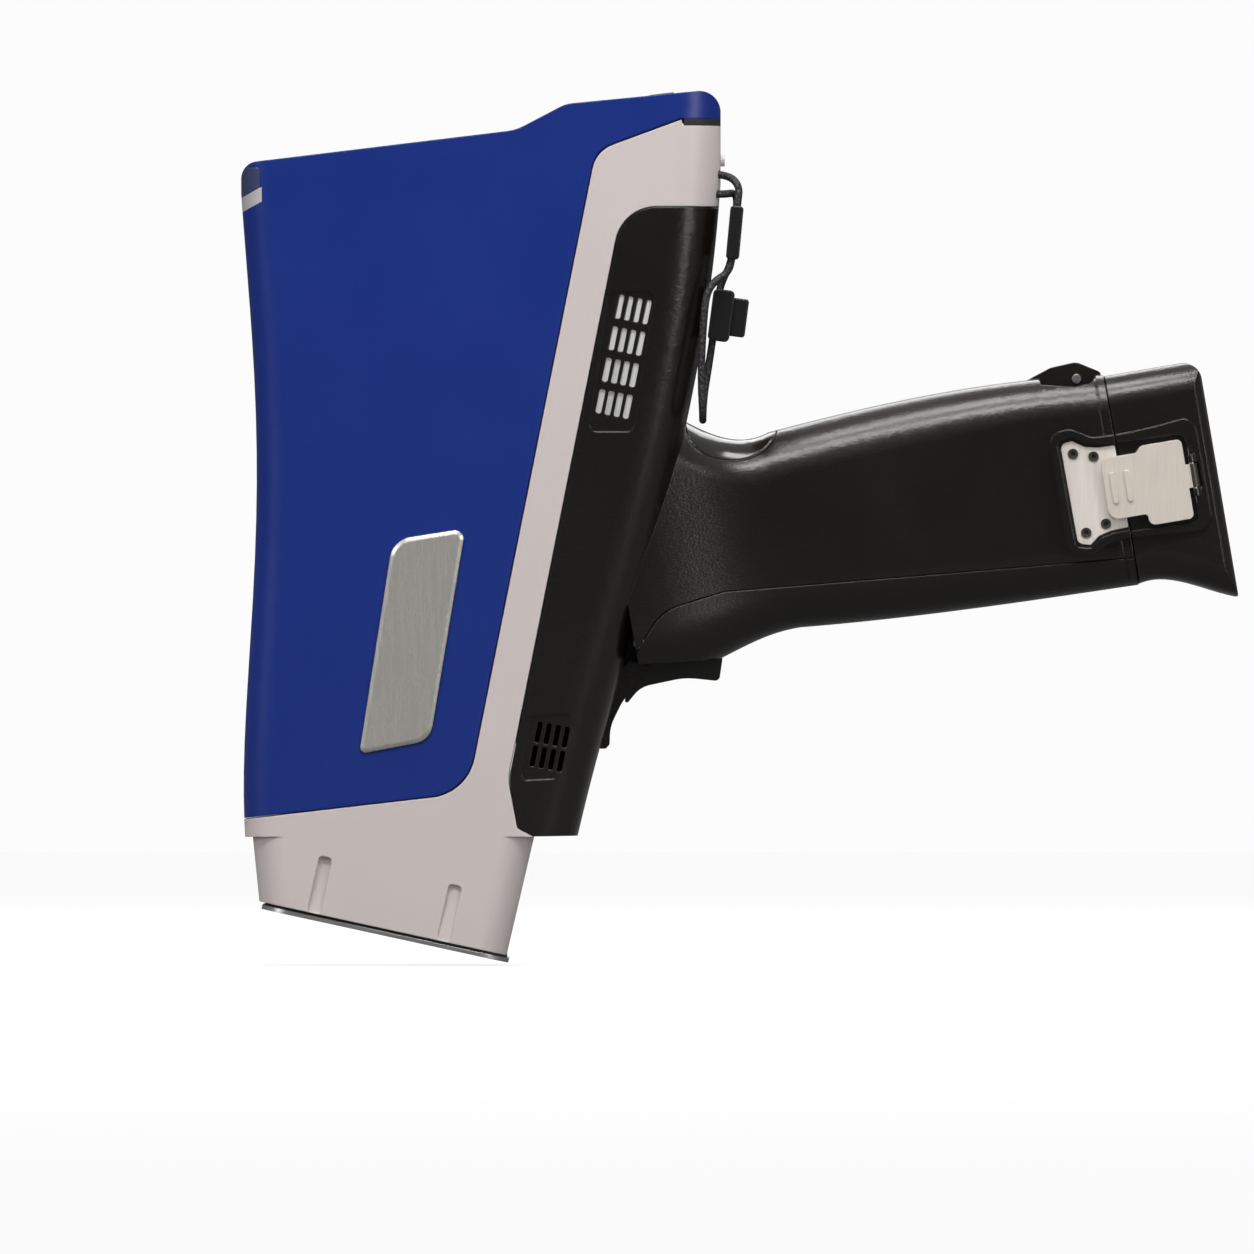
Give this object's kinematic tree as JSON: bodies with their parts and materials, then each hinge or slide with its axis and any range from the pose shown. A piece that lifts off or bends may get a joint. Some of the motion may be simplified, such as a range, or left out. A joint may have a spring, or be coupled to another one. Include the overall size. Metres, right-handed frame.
{
  "type": "portable spectrometer",
  "caption": "Handheld pistol-grip spectrometer, nose down: body with tilted display and keypad, trigger, battery door and latch, port door, wrist strap.",
  "frame": {"origin": "middle of the nose face, the flat measuring face", "axes": "+Z from the nose towards the display end, +X from the back of the body to the foot of the grip, +Y to the right-hand side; y = 0 is the middle plane"},
  "size_m": [0.2857, 0.083, 0.2496],
  "materials": {
    "blue_cover": "satin moulded plastic",
    "pale_housing": "satin moulded plastic",
    "black_housing": "fine-textured moulded plastic",
    "black_grip": "soft overmoulded grip",
    "trigger_black": "satin",
    "seal_rubber": "moulded rubber",
    "display_glass": "polished",
    "display_panel": "dark panel",
    "keypad": "satin",
    "keys": "moulded silicone",
    "indicator_lens": "clear tinted",
    "silver_band": "silver",
    "badge": "brushed, bare",
    "nose_steel": "brushed",
    "window_film": "thin clear film",
    "latch_metal": "satin nickel",
    "lever_metal": "satin",
    "pin_steel": "ground",
    "screw_steel": "plated",
    "knob_pale": "satin",
    "battery_case": "moulded",
    "chassis_alloy": "machined",
    "tube_metal": "turned",
    "supply_case": "folded can",
    "circuit_board": "solder mask",
    "switch_plastic": "moulded",
    "strap_cord": "braided cord",
    "strap_plastic": "moulded"
  },
  "bodies": {
    "root": {"lower_housing_left": "black_housing", "lower_housing_right": "black_housing", "front_strap": "black_grip", "top_cover": "blue_cover", "indicator_lens": "indicator_lens", "indicator_band": "silver_band", "cover_seal": "seal_rubber", "badge_plate": "badge", "display_glass": "display_glass", "display_gasket": "seal_rubber", "display_panel": "display_panel", "keypad_plate": "keypad", "mid_housing": "pale_housing", "port_hinge_pin": "pin_steel", "port_connectors": "switch_plastic", "nose_plate": "nose_steel", "nose_gasket": "seal_rubber", "window_film": "window_film", "nose_plate_screws": "screw_steel", "door_hinge_pin": "pin_steel", "latch_plate": "latch_metal", "latch_screws": "screw_steel", "lanyard_pin": "pin_steel", "battery_pack": "battery_case", "battery_contacts": "battery_case", "trigger_pin": "pin_steel", "trigger_spring": "pin_steel", "trigger_switch": "switch_plastic", "trigger_board": "circuit_board", "chassis_plate": "chassis_alloy", "head_block": "chassis_alloy", "x_ray_tube": "tube_metal", "detector": "tube_metal", "filter_motor": "tube_metal", "hv_supply": "supply_case", "main_board": "circuit_board", "heat_sink": "chassis_alloy", "speaker": "switch_plastic", "housing_screws": "screw_steel", "strap_cord": "strap_cord", "strap_slider": "strap_plastic", "cord_lock_body": "strap_plastic"},
    "trigger": {"trigger": "trigger_black"},
    "nav_ring": {"nav_ring": "keys"},
    "select_key": {"select_key": "keys"},
    "home_key": {"home_key": "keys"},
    "back_key": {"back_key": "keys"},
    "power_key": {"power_key": "keys"},
    "port_door": {"port_door": "pale_housing"},
    "port_door_knob": {"port_door_knob": "knob_pale"},
    "battery_door": {"battery_door": "black_housing", "battery_door_seal": "seal_rubber", "latch_pin": "pin_steel"},
    "latch_lever": {"latch_lever": "lever_metal"},
    "filter_wheel": {"filter_wheel": "chassis_alloy"},
    "cord_lock_plunger": {"cord_lock_plunger": "strap_plastic"}
  },
  "joints": [
    {"name": "trigger_pull", "type": "hinge", "parent": "root", "child": "trigger", "pos_m": [0.0726, 0, 0.084], "axis": [0, -1, 0], "range_deg": [0, 7], "stiffness_Nm_per_rad": 0.4, "deforming": ["trigger_spring"]},
    {"name": "battery_door_hinge", "type": "hinge", "parent": "root", "child": "battery_door", "pos_m": [0.21015, 0.0273, 0.13667], "axis": [-0.1668, 0, 0.986], "range_deg": [0, 110]},
    {"name": "latch_lever_hinge", "type": "hinge", "parent": "battery_door", "child": "latch_lever", "pos_m": [0.23021, -0.027, 0.14006], "axis": [-0.1668, 0, 0.986], "range_deg": [0, 100]},
    {"name": "port_door_hinge", "type": "hinge", "parent": "root", "child": "port_door", "pos_m": [0.094, 0, 0.214], "axis": [0, 1, 0], "range_deg": [0, 100]},
    {"name": "port_door_knob_turn", "type": "hinge", "parent": "port_door", "child": "port_door_knob", "pos_m": [0.095, 0.006, 0.2228], "axis": [1, 0, 0], "range_deg": [0, 90]},
    {"name": "filter_wheel_spin", "type": "hinge", "parent": "root", "child": "filter_wheel", "pos_m": [-0.00387, 0.0085, 0.01377], "axis": [-0.2706, 0, 0.9627], "continuous": true},
    {"name": "cord_lock_press", "type": "slide", "parent": "root", "child": "cord_lock_plunger", "axis": [-0.9918, 0, 0.1277], "range_m": [0, 0.0018], "stiffness_N_per_m": 300},
    {"name": "nav_ring_press", "type": "slide", "parent": "root", "child": "nav_ring", "axis": [0.1201, 0, -0.9928], "range_m": [0, 0.0008], "stiffness_N_per_m": 400},
    {"name": "select_key_press", "type": "slide", "parent": "root", "child": "select_key", "axis": [0.1201, 0, -0.9928], "range_m": [0, 0.0008], "stiffness_N_per_m": 400},
    {"name": "home_key_press", "type": "slide", "parent": "root", "child": "home_key", "axis": [0.1201, 0, -0.9928], "range_m": [0, 0.0008], "stiffness_N_per_m": 400},
    {"name": "back_key_press", "type": "slide", "parent": "root", "child": "back_key", "axis": [0.1201, 0, -0.9928], "range_m": [0, 0.0008], "stiffness_N_per_m": 400},
    {"name": "power_key_press", "type": "slide", "parent": "root", "child": "power_key", "axis": [0.1201, 0, -0.9928], "range_m": [0, 0.0008], "stiffness_N_per_m": 400}
  ]
}
